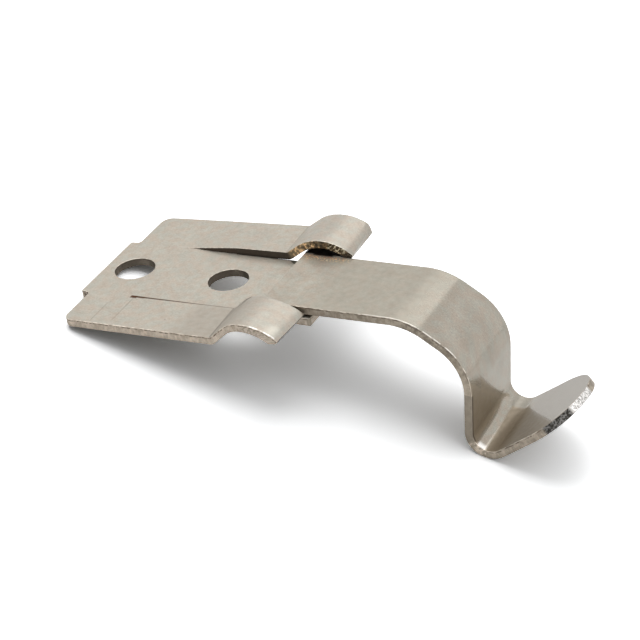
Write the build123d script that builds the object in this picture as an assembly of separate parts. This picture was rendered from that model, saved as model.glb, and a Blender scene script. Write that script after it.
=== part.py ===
"""Placard clip: a riveted base plate with two hooked tabs, and a bent spring tongue held under the hooks."""

import os
from dataclasses import dataclass
from math import cos, radians, sin, tan

from build123d import *

os.makedirs("parts", exist_ok=True)

# Sizes are in millimetres and angles in degrees.
# The origin is on the plate's underside, midway between the two rivet holes.
# +X runs toward the lip, +Y toward the tall hook, and +Z up out of the plate.

# Sheet that both pieces are made of
sheet = 1.0

# Plan of the base plate
plate_width = 25.0
hole_diameter = 5.0
hole_spacing = 13.0
hole_to_left_edge = 2.75
uncut_length = 5.75
strip_width = 11.8
strip_reach = 20.3
lance_gap = 0.1
stub_length = 1.2
stub_notch_radius = 0.5
near_corner_radius = 1.1
far_corner_radius = 1.3

# Near tab and its hook
near_joggle = 0.09
near_lift_starts = uncut_length
near_crease_reach = 10.9
near_crease_lift = 0.18
near_rise_angle = 40.0
near_rise_radius = 3.9
near_crown_lift = 2.33
near_brow_lift = 0.75
near_hook_reach = 19.65
near_hook_skew = 0.0
near_foot_lift = 0.3
near_brow_radius = 0.35

# Far tab and its hook, which is set up higher
far_joggle = 0.83
far_lift_starts = 0.0
far_crease_reach = 11.35
far_crease_lift = 1.07
far_rise_angle = 35.0
far_rise_radius = 5.75
far_crown_lift = 3.17
far_brow_lift = 2.16
far_hook_reach = 19.7
far_hook_skew = 0.7
far_foot_lift = 0.98
far_brow_radius = 0.5

# Beside its slit a tab stays level at first, and then steps up over a run
joggle_delay = 1.4
joggle_run = 6.7

# Spring tongue
tongue_width = 11.54
tongue_offset = 0.15
tongue_float = 0.24
tongue_root = 13.95
flat_length = 16.0
shoulder_radius = 7.4
shoulder_angle = 34.3
slope_length = 2.1
knee_radius = 6.1
knee_angle = 61.7
leg_length = 5.0
toe_radius = 1.9
toe_angle = 129.3
lip_length = 10.8
lip_curl = 2.8

# Ears of the tongue, which sit under the hooks; the near one is shorter, as its hook is lower
near_ear_setback = 0.4
near_ear_length = 1.7
far_ear_length = 4.65
ear_reach = 10.0
ear_shoulder = 0.18
ear_slant = 0.2
ear_fillet = 0.3
ear_round = 0.3

# Levels and edges that the two pieces share
plate_left = -hole_spacing / 2 - hole_to_left_edge
slit_start = plate_left + uncut_length
tab_inner = strip_width / 2 + lance_gap
tab_outer = plate_width / 2
tongue_bottom = sheet + tongue_float


@dataclass
class TabShape:
    """One side tab: its side of the plate, its lift, and the profile of its hook."""

    side: int
    joggle: float
    lift_starts: float
    crease_reach: float
    crease_lift: float
    rise_angle: float
    rise_radius: float
    crown_lift: float
    brow_lift: float
    hook_reach: float
    hook_skew: float
    foot_lift: float
    brow_radius: float


near_tab = TabShape(
    side=-1,
    joggle=near_joggle,
    lift_starts=near_lift_starts,
    crease_reach=near_crease_reach,
    crease_lift=near_crease_lift,
    rise_angle=near_rise_angle,
    rise_radius=near_rise_radius,
    crown_lift=near_crown_lift,
    brow_lift=near_brow_lift,
    hook_reach=near_hook_reach,
    hook_skew=near_hook_skew,
    foot_lift=near_foot_lift,
    brow_radius=near_brow_radius,
)

far_tab = TabShape(
    side=1,
    joggle=far_joggle,
    lift_starts=far_lift_starts,
    crease_reach=far_crease_reach,
    crease_lift=far_crease_lift,
    rise_angle=far_rise_angle,
    rise_radius=far_rise_radius,
    crown_lift=far_crown_lift,
    brow_lift=far_brow_lift,
    hook_reach=far_hook_reach,
    hook_skew=far_hook_skew,
    foot_lift=far_foot_lift,
    brow_radius=far_brow_radius,
)


def side_view(across):
    """Plane of a side view at one place across the plate: x along the clip, y up."""
    return Plane(origin=(0, across, 0), x_dir=(1, 0, 0), z_dir=(0, -1, 0))


def push_across(face, across_from, across_to):
    """Push a side-view face from one place across the plate to another."""
    start = min(across_from, across_to)
    width = abs(across_to - across_from)
    return extrude(side_view(start) * face, amount=-width)


def raise_plan(points, level_from, level_to):
    """Solid over a plan outline, from one level to another."""
    outline = make_face(Polyline(*points, close=True))
    return extrude(Pos(0, 0, level_from) * outline, amount=level_to - level_from)


def tab_edge_levels(tab, is_inner):
    """Stations along one long edge of a tab, each with the level of its top face."""
    joggle_start = slit_start + joggle_delay
    stations = [plate_left, joggle_start, joggle_start + joggle_run, tab.crease_reach]
    if is_inner:
        lifts = [0.0, 0.0, tab.joggle, tab.crease_lift]
    else:
        lift_from = plate_left + tab.lift_starts
        slope = tab.crease_lift / (tab.crease_reach - lift_from)
        lifts = [max(0.0, (station - lift_from) * slope) for station in stations]
    return [(station, sheet + lift) for station, lift in zip(stations, lifts)]


def tab_edge_face(tab, is_inner):
    """Side view of the tab at its inner or outer edge, as a closed outline."""
    top = tab_edge_levels(tab, is_inner)
    bottom = [(station, level - sheet) for station, level in reversed(top)]
    return make_face(Polyline(*top, *bottom, close=True))


def tab_blade(tab):
    """The tab's flat part, ruled between its inner and outer edges."""
    inner = side_view(tab.side * tab_inner) * tab_edge_face(tab, True)
    outer = side_view(tab.side * tab_outer) * tab_edge_face(tab, False)
    return loft([inner, outer], ruled=True)


def under_arch(tab, depth):
    """Everything under the hook's arch, measured at a depth below its top surface."""
    rise = radians(tab.rise_angle)
    crease_level = sheet + tab.crease_lift
    crown_level = sheet + tab.crown_lift
    arc_level = crown_level - tab.rise_radius * (1 - cos(rise))
    arc_x = tab.crease_reach + (arc_level - crease_level) / tan(rise)
    crown_x = arc_x + tab.rise_radius * sin(rise)

    # The second arc leaves the crown level and meets the end of the hook at the brow.
    drop_run = tab.hook_reach - crown_x
    drop = tab.crown_lift - tab.brow_lift
    drop_radius = (drop_run**2 + drop**2) / (2 * drop)

    # Both ends are carried on well below the plate, so that the arch meets the blade along a mitre.
    floor = -plate_width
    arc_start = Vector(arc_x + depth * sin(rise), arc_level - depth * cos(rise))
    rise_foot = Vector(arc_start.X - (arc_start.Y - floor) / tan(rise), floor)
    rise_line = Line(rise_foot, arc_start)
    up_arc = JernArc(arc_start, (cos(rise), sin(rise)), tab.rise_radius - depth, -tab.rise_angle)
    down_arc = JernArc((crown_x, crown_level - depth), (1, 0), drop_radius - depth, -90)
    end = down_arc @ 1
    corner = Vector(end.X, floor)
    face = make_face([rise_line, up_arc, down_arc, Line(end, corner), Line(corner, rise_foot)])
    return push_across(face, tab.side * tab_inner, tab.side * tab_outer)


def hook(tab):
    """The arched hook at the tab's end, with its short turned-down foot."""
    inner = tab.side * tab_inner
    outer = tab.side * tab_outer
    inner_end = tab.hook_reach + tab.hook_skew
    outer_end = tab.hook_reach
    back = tab.crease_reach - sheet
    top = sheet + tab.crown_lift + sheet

    foot_plan = [(inner_end - sheet, inner), (inner_end, inner), (outer_end, outer), (outer_end - sheet, outer)]
    foot_room = raise_plan(foot_plan, tab.foot_lift, top)
    hook_plan = [(back, inner), (inner_end, inner), (outer_end, outer), (back, outer)]
    hook_room = raise_plan(hook_plan, tab.crease_lift, top)
    hollow = under_arch(tab, sheet) - foot_room
    body = (under_arch(tab, 0) & hook_room) - hollow

    below_foot = Box(inner_end, 2 * plate_width, plate_width, align=(Align.MIN, Align.CENTER, Align.MAX))
    body -= Pos(outer_end - 2 * sheet, 0, sheet + tab.foot_lift) * below_foot
    end_face = body.faces().sort_by(Axis.X)[-1]
    brow = end_face.edges().sort_by(Axis.Z)[-1]
    return fillet(brow, tab.brow_radius)


def vertex_at(outline, along, across):
    """The outline's corner nearest to a place in the plan."""
    return outline.vertices().sort_by_distance((along, across, 0))[0]


def plate_outline():
    """Plan of the whole base plate, with its rounded corners and the notches beside its stub."""
    right = tab_outer + strip_reach
    stub_left = plate_left - stub_length
    stub_edge = strip_width / 2
    outline = make_face(
        Polyline(
            (right, -tab_outer),
            (right, tab_outer),
            (plate_left, tab_outer),
            (plate_left, stub_edge),
            (stub_left, stub_edge),
            (stub_left, -stub_edge),
            (plate_left, -stub_edge),
            (plate_left, -tab_outer),
            close=True,
        )
    )
    outline = fillet(vertex_at(outline, plate_left, -tab_outer), near_corner_radius)
    outline = fillet(vertex_at(outline, plate_left, tab_outer), far_corner_radius)
    for across in (-stub_edge, stub_edge):
        outline = fillet(vertex_at(outline, plate_left, across), stub_notch_radius)
    return outline


def base_plate():
    """Stamped plate: the middle strip, the uncut left part, both tabs, both hooks and the rivet holes."""
    left = plate_left - stub_length
    strip_edge = strip_width / 2
    plan = [
        (left, -tab_inner),
        (slit_start, -tab_inner),
        (slit_start, -strip_edge),
        (strip_reach, -strip_edge),
        (strip_reach, strip_edge),
        (slit_start, strip_edge),
        (slit_start, tab_inner),
        (left, tab_inner),
    ]
    body = raise_plan(plan, 0, sheet)
    for tab in (near_tab, far_tab):
        body += tab_blade(tab)
        body += hook(tab)
    body = body & extrude(Pos(0, 0, -plate_width) * plate_outline(), amount=2 * plate_width)
    hole = Cylinder(hole_diameter / 2, 4 * sheet)
    for place in (-hole_spacing / 2, hole_spacing / 2):
        body -= Pos(place, 0, 0) * hole
    return body


def bent_sheet(start, moves):
    """Side view of a bent sheet: it starts level, and each move is a straight run or a bend."""
    heading = 0.0
    lower_point = Vector(*start)
    edges = []
    for kind, size, angle in moves:
        direction = Vector(cos(radians(heading)), sin(radians(heading)))
        upper_point = lower_point + Vector(-direction.Y, direction.X) * sheet
        if not edges:
            edges.append(Line(lower_point, upper_point))
        if kind == "run":
            lower = Line(lower_point, lower_point + direction * size)
            upper = Line(upper_point, upper_point + direction * size)
        else:
            lower_radius = size + sheet if angle > 0 else size
            upper_radius = size if angle > 0 else size + sheet
            lower = JernArc(lower_point, direction, lower_radius, angle)
            upper = JernArc(upper_point, direction, upper_radius, angle)
            heading += angle
        edges += [lower, upper]
        lower_point = lower @ 1
    edges.append(Line(lower @ 1, upper @ 1))
    return make_face(edges), (lower @ 1 + upper @ 1) / 2, heading


def lip_end_waste(tip, heading):
    """What is cut off the lip's square end to leave a full round."""
    half = tongue_width / 2
    turn = heading - lip_curl / 2 * half / lip_length
    lip_plane = Plane(
        origin=(tip.X, tongue_offset, tip.Y),
        x_dir=(cos(radians(turn)), 0, sin(radians(turn))),
        z_dir=(-sin(radians(turn)), 0, cos(radians(turn))),
    )
    square = Rectangle(half + sheet, 2 * (half + sheet), align=(Align.MIN, Align.CENTER))
    waste = Pos(-half, 0) * (square - Circle(half))
    return extrude(lip_plane * waste, amount=2 * sheet, both=True)


def tongue_ears():
    """Cross ears at the tongue's root, which the hooks hold down."""
    half = tongue_width / 2
    near_left = tongue_root + near_ear_setback
    near_right = near_left + near_ear_length
    far_right = tongue_root + far_ear_length
    joint = far_right + sheet
    outline = make_face(
        Polyline(
            (tongue_root, ear_reach),
            (far_right, ear_reach),
            (far_right, half),
            (joint, half),
            (joint, -half),
            (near_right, -half),
            (near_right, -ear_reach),
            (near_left, -ear_reach),
            (near_left, -half - ear_shoulder - ear_slant),
            (tongue_root, -half - ear_shoulder),
            close=True,
        )
    )
    outline = fillet(vertex_at(outline, far_right, half), ear_fillet)
    outline = fillet(vertex_at(outline, near_right, -half), ear_fillet)
    ears = extrude(Pos(0, tongue_offset, tongue_bottom) * outline, amount=sheet)
    top_edges = ears.faces().sort_by(Axis.Z)[-1].edges().filter_by(Axis.Y)
    eased = [edge for edge in top_edges if abs(edge.center().Y) > half]
    eased = [edge for edge in eased if edge.center().X > near_right - ear_fillet]
    return fillet(eased, ear_round)


def spring_tongue():
    """Bent leaf: root ears, flat, shoulder, slope, knee, leg, toe and the round-ended lip."""
    moves = [
        ("run", flat_length, 0),
        ("bend", shoulder_radius, -shoulder_angle),
        ("run", slope_length, 0),
        ("bend", knee_radius, -knee_angle),
        ("run", leg_length, 0),
        ("bend", toe_radius, toe_angle),
        ("bend", lip_length / radians(lip_curl), lip_curl),
    ]
    profile, tip, heading = bent_sheet((tongue_root, tongue_bottom), moves)
    half = tongue_width / 2
    body = push_across(profile, tongue_offset - half, tongue_offset + half)
    body -= lip_end_waste(tip, heading)
    return body + tongue_ears()


def write_piece(name, piece):
    """Name one finished piece and write it to the parts folder."""
    piece.label = name
    export_step(piece, f"parts/{name}.step")


write_piece("base_plate", base_plate())
write_piece("spring_tongue", spring_tongue())
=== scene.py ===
"""Placard clip: a stamped plate with two hooked tabs, and a bent spring tongue held under the hooks.

The plate and the tongue are built as flat blanks with sheared edges, and then bent as the real sheets were.
Sizes in the classes are in millimetres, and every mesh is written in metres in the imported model's frame.
"""

import logging
import math
from dataclasses import dataclass, field, replace
from enum import Enum
from functools import reduce

import bpy
import numpy as np
from mathutils import Matrix, Vector, geometry


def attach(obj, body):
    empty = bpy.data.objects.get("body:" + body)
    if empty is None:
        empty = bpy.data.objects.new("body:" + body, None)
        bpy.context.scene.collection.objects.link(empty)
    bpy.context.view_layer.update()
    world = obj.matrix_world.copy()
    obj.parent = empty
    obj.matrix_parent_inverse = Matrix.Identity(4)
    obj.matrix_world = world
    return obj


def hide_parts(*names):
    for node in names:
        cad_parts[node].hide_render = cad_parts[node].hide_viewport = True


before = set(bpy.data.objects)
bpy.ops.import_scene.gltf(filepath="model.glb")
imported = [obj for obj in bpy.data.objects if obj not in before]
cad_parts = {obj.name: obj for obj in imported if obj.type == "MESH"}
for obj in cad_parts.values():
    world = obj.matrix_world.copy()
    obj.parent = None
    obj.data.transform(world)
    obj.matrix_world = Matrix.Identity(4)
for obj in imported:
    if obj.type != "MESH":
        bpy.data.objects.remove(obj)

MM = 0.001
IMAGE_SIZE = 640
SHARP_ANGLE = 40.0
ARC_STEP = 0.3
LEAST_ARC_STEPS = 3
LEAST_STEP = 0.06
LEAST_TURN_SHARE = 0.3
SAME_POINT = 0.0001
MERGE_DISTANCE = 0.00001
COLUMN_MARGIN = 0.5
MIDDLE_COLUMNS = 14
LOG = logging.getLogger("placard_clip")

Socket = bpy.types.NodeSocket
NodeValues = dict[str | int, object]
Point = tuple[float, float]
Corner = tuple[float, float, float]
Colour = tuple[float, float, float]
Triple = tuple[float, float, float]
Range = tuple[float, float]


class Side(Enum):
    """The two sides of the plate, as the sign of their Y."""

    NEAR = -1
    FAR = 1


class Place(Enum):
    """Where on the sheet a stain lies."""

    FACES = "faces"
    RIMS = "rims"
    BOTH = "both"


# Flat blanks


@dataclass(frozen=True)
class ShearedEdge:
    """How a sheared edge runs from the sheet's top face round to its bottom face."""

    top_round: float = 0.06
    bottom_round: float = 0.05
    margin: float = 0.17
    arc_steps: int = 3
    wall_steps: int = 4

    def loops(self, sheet: float) -> list[Triple]:
        """Work out the loops of points that go round every outline.

        Args:
            sheet: Thickness of the sheet.

        Returns:
            For each loop its inset from the outline, its depth below the top face, and its share of rim.
        """
        rows = [(self.margin, 0.0, 0.0)]
        for step in range(self.arc_steps + 1):
            turn = math.pi / 2 * step / self.arc_steps
            inset = self.top_round * (1 - math.sin(turn))
            rows.append((inset, self.top_round * (1 - math.cos(turn)), math.sin(turn)))
        wall = sheet - self.top_round - self.bottom_round
        for step in range(1, self.wall_steps):
            rows.append((0.0, self.top_round + wall * step / self.wall_steps, 1.0))
        for step in range(self.arc_steps + 1):
            turn = math.pi / 2 * step / self.arc_steps
            inset = self.bottom_round * (1 - math.cos(turn))
            depth = sheet - self.bottom_round * (1 - math.sin(turn))
            rows.append((inset, depth, math.cos(turn)))
        rows.append((self.margin, sheet, 0.0))
        return rows


def corner_arc(before: np.ndarray, here: np.ndarray, after: np.ndarray, radius: float) -> np.ndarray:
    """Round one corner of an outline.

    Args:
        before: The corner before this one.
        here: The corner.
        after: The corner after this one.
        radius: Radius of the round, or 0 for a sharp corner.

    Returns:
        The points of the round, or the corner alone.
    """
    if radius == 0:
        return here[None, :]
    back = (before - here) / np.linalg.norm(before - here)
    ahead = (after - here) / np.linalg.norm(after - here)
    half = math.acos(float(np.clip(back @ ahead, -1, 1))) / 2
    reach = radius / math.tan(half)
    centre = here + (back + ahead) / np.linalg.norm(back + ahead) * radius / math.sin(half)
    start, stop = (math.atan2(*(here + way * reach - centre)[::-1]) for way in (back, ahead))
    sweep = (stop - start + math.pi) % (2 * math.pi) - math.pi
    steps = max(LEAST_ARC_STEPS, math.ceil(abs(sweep) * (radius + ARC_STEP) / ARC_STEP))
    turns = start + sweep * np.arange(steps + 1) / steps
    return centre + radius * np.column_stack([np.cos(turns), np.sin(turns)])


def rounded_outline(corners: list[Corner], rows: np.ndarray, columns: np.ndarray) -> np.ndarray:
    """Run round a list of corners, with an arc at each one and points where rows and columns cross.

    Args:
        corners: Corners as along, across and radius, with the sheet on the left of the walk.
        rows: Places along the blank where a line across it runs.
        columns: Places across the blank where a line along it runs.

    Returns:
        The closed outline's points, one row each.
    """
    places = np.array(corners)[:, :2]
    radii = [corner[2] for corner in corners]
    walk = zip(np.roll(places, 1, axis=0), places, np.roll(places, -1, axis=0), radii)
    arcs = [corner_arc(*stop) for stop in walk]
    outline: list[np.ndarray] = []
    for arc, following in zip(arcs, arcs[1:] + arcs[:1]):
        outline.extend(arc)
        start = arc[-1]
        step = following[0] - start
        length = float(np.linalg.norm(step))
        if length < 2 * LEAST_STEP:
            continue
        lines, axis = (rows, 0) if abs(step[0]) >= abs(step[1]) else (columns, 1)
        shares = (lines - start[axis]) / step[axis]
        shares = sorted(share for share in shares if LEAST_STEP < share * length < length - LEAST_STEP)
        outline.extend(start + step * share for share in shares)
    loop = np.array(outline)
    apart = np.linalg.norm(loop - np.roll(loop, 1, axis=0), axis=1) > SAME_POINT
    return loop[apart]


def round_hole(centre: Point, radius: float, steps: int) -> np.ndarray:
    """Points of a round hole, walked clockwise so that the sheet is on the left."""
    turns = -2 * math.pi * np.arange(steps) / steps
    return np.column_stack([centre[0] + radius * np.cos(turns), centre[1] + radius * np.sin(turns)])


def inset_loop(loop: np.ndarray, inset: float) -> np.ndarray:
    """Move a closed outline into the sheet by one distance.

    Args:
        loop: The outline's points, with the sheet on the left.
        inset: How far the outline moves in.

    Returns:
        The moved points, as many as before.
    """
    ahead = np.roll(loop, -1, axis=0) - loop
    ahead /= np.linalg.norm(ahead, axis=1, keepdims=True)
    left = np.column_stack([-ahead[:, 1], ahead[:, 0]])
    left_before = np.roll(left, 1, axis=0)
    share = 1 + np.sum(left * left_before, axis=1, keepdims=True)
    return loop + inset * (left + left_before) / np.maximum(share, LEAST_TURN_SHARE)


def inside(points: np.ndarray, loop: np.ndarray) -> np.ndarray:
    """Tell which points a closed outline goes round.

    Args:
        points: Points to test, one row each.
        loop: The outline's points.

    Returns:
        True for each point that the outline goes round.
    """
    result = np.zeros(len(points), bool)
    for first, second in zip(loop, np.roll(loop, -1, axis=0)):
        crosses = (first[1] > points[:, 1]) != (second[1] > points[:, 1])
        if not crosses.any():
            continue
        slope = (second[0] - first[0]) / (second[1] - first[1])
        meet = first[0] + (points[:, 1] - first[1]) * slope
        result ^= crosses & (points[:, 0] < meet)
    return result


def edge_distance(points: np.ndarray, loops: list[np.ndarray]) -> np.ndarray:
    """Measure how far each point lies from the nearest outline.

    Args:
        points: Points to measure from, one row each.
        loops: The outlines.

    Returns:
        The distance of each point.
    """
    nearest = np.full(len(points), np.inf)
    for loop in loops:
        for first, second in zip(loop, np.roll(loop, -1, axis=0)):
            step = second - first
            share = np.clip((points - first) @ step / (step @ step), 0, 1)
            away = np.linalg.norm(points - first - share[:, None] * step, axis=1)
            nearest = np.minimum(nearest, away)
    return nearest


@dataclass
class FlatSheet:
    """A blank's mesh while it is still flat.

    It has the along, the across and the depth of each point, its faces, and each point's share of rim.
    """

    places: np.ndarray
    faces: list[tuple[int, ...]]
    rim: np.ndarray


@dataclass
class Blank:
    """A flat blank: its outlines, the lines that divide it, its sheet and its edge."""

    outlines: list[np.ndarray]
    rows: np.ndarray
    columns: np.ndarray
    sheet: float
    edge: ShearedEdge = ShearedEdge()
    inner_gap: float = 0.2

    def inner_points(self, loops: list[np.ndarray]) -> np.ndarray:
        """Crossings of rows and columns that lie well inside the blank.

        Args:
            loops: The innermost loops, one for each outline.

        Returns:
            The crossings that are kept.
        """
        along, across = np.meshgrid(self.rows, self.columns, indexing="ij")
        grid = np.column_stack([along.ravel(), across.ravel()])
        kept = inside(grid, loops[0])
        for hole in loops[1:]:
            kept &= ~inside(grid, hole)
        grid = grid[kept]
        return grid[edge_distance(grid, loops) > self.inner_gap]

    def fill(self, loops: list[np.ndarray], grid: np.ndarray) -> list[tuple[int, int, int]]:
        """Divide one face of the blank into triangles.

        Args:
            loops: The innermost loops, one for each outline.
            grid: The crossings inside them.

        Returns:
            Triangles that index the loops' points and then the grid's points.
        """
        points = np.vstack([*loops, grid])
        edges = []
        start = 0
        for loop in loops:
            size = len(loop)
            edges += [(start + step, start + (step + 1) % size) for step in range(size)]
            start += size
        corners = [Vector(point) for point in points]
        found = geometry.delaunay_2d_cdt(corners, edges, [], 0, MERGE_DISTANCE)
        if len(found[0]) != len(points):
            raise ValueError("the blank's outlines cross or touch")
        triangles = np.array(found[2])
        centres = points[triangles].mean(axis=1)
        kept = inside(centres, loops[0])
        for hole in loops[1:]:
            kept &= ~inside(centres, hole)
        return [tuple(int(corner) for corner in triangle) for triangle in triangles[kept]]

    def build(self) -> FlatSheet:
        """Make the blank's closed mesh, with both faces and every sheared edge.

        Returns:
            The flat mesh.
        """
        profile = self.edge.loops(self.sheet)
        inner = [inset_loop(loop, self.edge.margin) for loop in self.outlines]
        grid = self.inner_points(inner)
        triangles = self.fill(inner, grid)
        ring = sum(len(loop) for loop in self.outlines)
        layers = []
        rims = []
        for inset, depth, rim in profile:
            points = np.vstack([inset_loop(loop, inset) for loop in self.outlines])
            layers.append(np.column_stack([points, np.full(ring, depth)]))
            rims.append(np.full(ring, rim))
        top_grid = ring * len(profile)
        bottom_grid = top_grid + len(grid)
        for depth in (0.0, self.sheet):
            layers.append(np.column_stack([grid, np.full(len(grid), depth)]))
            rims.append(np.zeros(len(grid)))
        last = ring * (len(profile) - 1)
        faces: list[tuple[int, ...]] = []
        for triangle in triangles:
            faces.append(tuple(k if k < ring else top_grid + k - ring for k in triangle))
            faces.append(tuple(last + k if k < ring else bottom_grid + k - ring for k in reversed(triangle)))
        for level in range(len(profile) - 1):
            upper = ring * level
            lower = upper + ring
            start = 0
            for loop in self.outlines:
                size = len(loop)
                for step in range(size):
                    here = start + step
                    ahead = start + (step + 1) % size
                    faces.append((upper + here, lower + here, lower + ahead, upper + ahead))
                start += size
        return FlatSheet(np.vstack(layers), faces, np.concatenate(rims))


def smooth_below(mesh: bpy.types.Mesh) -> None:
    """Shade a mesh smooth, but for the edges where its faces turn sharply."""
    mesh.shade_smooth()
    mesh.set_sharp_from_angle(angle=math.radians(SHARP_ANGLE))


def direction(azimuth: float, elevation: float) -> Vector:
    """Give the unit direction at an azimuth round from +X and an elevation, both in degrees."""
    turn, lift = math.radians(azimuth), math.radians(elevation)
    return Vector((math.cos(turn) * math.cos(lift), math.sin(turn) * math.cos(lift), math.sin(lift)))


def place_object(name: str, data: bpy.types.ID) -> bpy.types.Object:
    """Make an object and put it in the scene.

    Args:
        name: Name of the object.
        data: Its mesh, light or camera.

    Returns:
        The new object.
    """
    made = bpy.data.objects.new(name, data)
    bpy.context.scene.collection.objects.link(made)
    return made


def write_mesh(name: str, sheet: FlatSheet, points: np.ndarray) -> bpy.types.Object:
    """Make an object from a sheet's faces and its points.

    Args:
        name: Name of the object.
        sheet: The flat sheet that the faces and attributes come from.
        points: Each point's place, in millimetres.

    Returns:
        The new object.
    """
    mesh = bpy.data.meshes.new(name)
    mesh.from_pydata((points * MM).tolist(), [], sheet.faces)
    flat = mesh.attributes.new("flat", "FLOAT_VECTOR", "POINT")
    flat.data.foreach_set("vector", (sheet.places * MM).astype(np.float32).ravel())
    rim = mesh.attributes.new("rim", "FLOAT", "POINT")
    rim.data.foreach_set("value", sheet.rim.astype(np.float32))
    smooth_below(mesh)
    return place_object(name, mesh)


# Node trees


class Tree:
    """Adds nodes to a shader or geometry node tree and links them."""

    def __init__(self, tree: bpy.types.NodeTree) -> None:
        """Keep the tree that the nodes go into."""
        self.tree = tree

    def add(self, kind: str, values: NodeValues | None = None, **settings: object) -> bpy.types.Node:
        """Add one node.

        Args:
            kind: The node's type name.
            values: Its inputs, each a number, a colour, or a socket to link from.
            **settings: Properties of the node itself.

        Returns:
            The new node.
        """
        node = self.tree.nodes.new(kind)
        for key, value in settings.items():
            setattr(node, key, value)
        for key, value in (values or {}).items():
            if isinstance(value, bpy.types.NodeSocket):
                self.tree.links.new(value, node.inputs[key])
            else:
                node.inputs[key].default_value = value
        return node

    def math(self, operation: str, *values: float | Socket) -> Socket:
        """Add a Math node and give its result."""
        return self.add("ShaderNodeMath", dict(enumerate(values)), operation=operation).outputs[0]

    def product(self, *factors: float | Socket) -> Socket:
        """Multiply any number of values."""
        return reduce(lambda first, second: self.math("MULTIPLY", first, second), factors)

    def vector(self, operation: str, *values: object) -> Socket:
        """Add a Vector Math node and give its vector."""
        return self.add("ShaderNodeVectorMath", dict(enumerate(values)), operation=operation).outputs[0]

    def span(
        self, value: Socket, low: float, high: float, first: float, last: float, smooth: bool = False
    ) -> Socket:
        """Map a value from one range to another.

        Args:
            value: The value.
            low: Where the first range starts.
            high: Where the first range ends.
            first: What the start becomes.
            last: What the end becomes.
            smooth: Whether the map eases in and out.

        Returns:
            The mapped value.
        """
        kind = "SMOOTHSTEP" if smooth else "LINEAR"
        values = {0: value, 1: low, 2: high, 3: first, 4: last}
        return self.add("ShaderNodeMapRange", values, interpolation_type=kind).outputs[0]

    def ramp(self, value: Socket, low: float, high: float) -> Socket:
        """Rise smoothly from 0 to 1 between two values, or fall if the second is lower.

        Args:
            value: The value.
            low: Where the result is 0.
            high: Where the result is 1.

        Returns:
            The result, from 0 to 1.
        """
        if high < low:
            return self.span(value, high, low, 1.0, 0.0, True)
        return self.span(value, low, high, 0.0, 1.0, True)

    def blend(self, share: Socket, first: object, second: object) -> Socket:
        """Mix two colours by a share of the second."""
        return self.add("ShaderNodeMix", {0: share, 6: first, 7: second}, data_type="RGBA").outputs[2]


def new_material(name: str) -> tuple[bpy.types.Material, Tree]:
    """Make a material with an empty node tree.

    Args:
        name: Name of the material.

    Returns:
        The material, and what adds its nodes.
    """
    material = bpy.data.materials.new(name)
    material.use_nodes = True
    material.node_tree.nodes.clear()
    return material, Tree(material.node_tree)


class FoldRule:
    """Geometry node group that folds a flat sheet round one bend.

    The sheet lies along X with its lower face at Z 0. What lies before the bend stays, what lies within it
    goes round an arc, and what lies beyond it turns as one rigid piece.
    """

    NAME = "fold_sheet"

    def group(self) -> bpy.types.NodeTree:
        """Build the group, or give it if it is there.

        Returns:
            The node group.
        """
        found = bpy.data.node_groups.get(self.NAME)
        if found is not None:
            return found
        group = bpy.data.node_groups.new(self.NAME, "GeometryNodeTree")
        face = group.interface
        face.new_socket(name="Sheet", in_out="INPUT", socket_type="NodeSocketGeometry")
        for name in ("Along", "Start", "Length", "Angle"):
            face.new_socket(name=name, in_out="INPUT", socket_type="NodeSocketFloat")
        face.new_socket(name="Sheet", in_out="OUTPUT", socket_type="NodeSocketGeometry")
        tree = Tree(group)
        given = tree.add("NodeGroupInput").outputs
        position = tree.add("GeometryNodeInputPosition").outputs[0]
        place = tree.add("ShaderNodeSeparateXYZ", {0: position}).outputs
        beyond = tree.math("SUBTRACT", given["Along"], given["Start"])
        within = tree.math("MINIMUM", tree.math("MAXIMUM", beyond, 0.0), given["Length"])
        turn = tree.math("DIVIDE", tree.product(given["Angle"], within), given["Length"])
        radius = tree.math("DIVIDE", given["Length"], given["Angle"])
        left_over = tree.math("SUBTRACT", tree.math("SUBTRACT", place[0], given["Start"]), within)
        arm = tree.add("ShaderNodeCombineXYZ", {0: left_over, 2: place[2]}).outputs[0]
        turned = tree.add(
            "ShaderNodeVectorRotate",
            {"Vector": arm, "Angle": tree.product(turn, -1.0)},
            rotation_type="Y_AXIS",
        ).outputs[0]
        arc_along = tree.math("MULTIPLY_ADD", tree.math("SINE", turn), radius, given["Start"])
        arc_up = tree.product(radius, tree.math("SUBTRACT", 1.0, tree.math("COSINE", turn)))
        arc = tree.add("ShaderNodeCombineXYZ", {0: arc_along, 1: place[1], 2: arc_up}).outputs[0]
        moved = tree.add(
            "GeometryNodeSetPosition",
            {"Geometry": given["Sheet"], "Position": tree.vector("ADD", turned, arc)},
        )
        tree.add("NodeGroupOutput", {"Sheet": moved.outputs[0]})
        return group


@dataclass(frozen=True)
class Bend:
    """One bend of the tongue: its inner radius and its angle, up or down."""

    name: str
    inner_radius: float
    angle: float

    def lower_length(self, sheet: float) -> float:
        """Length of the sheet's lower face round this bend."""
        radius = self.inner_radius + sheet if self.angle > 0 else self.inner_radius
        return radius * math.radians(abs(self.angle))


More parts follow.
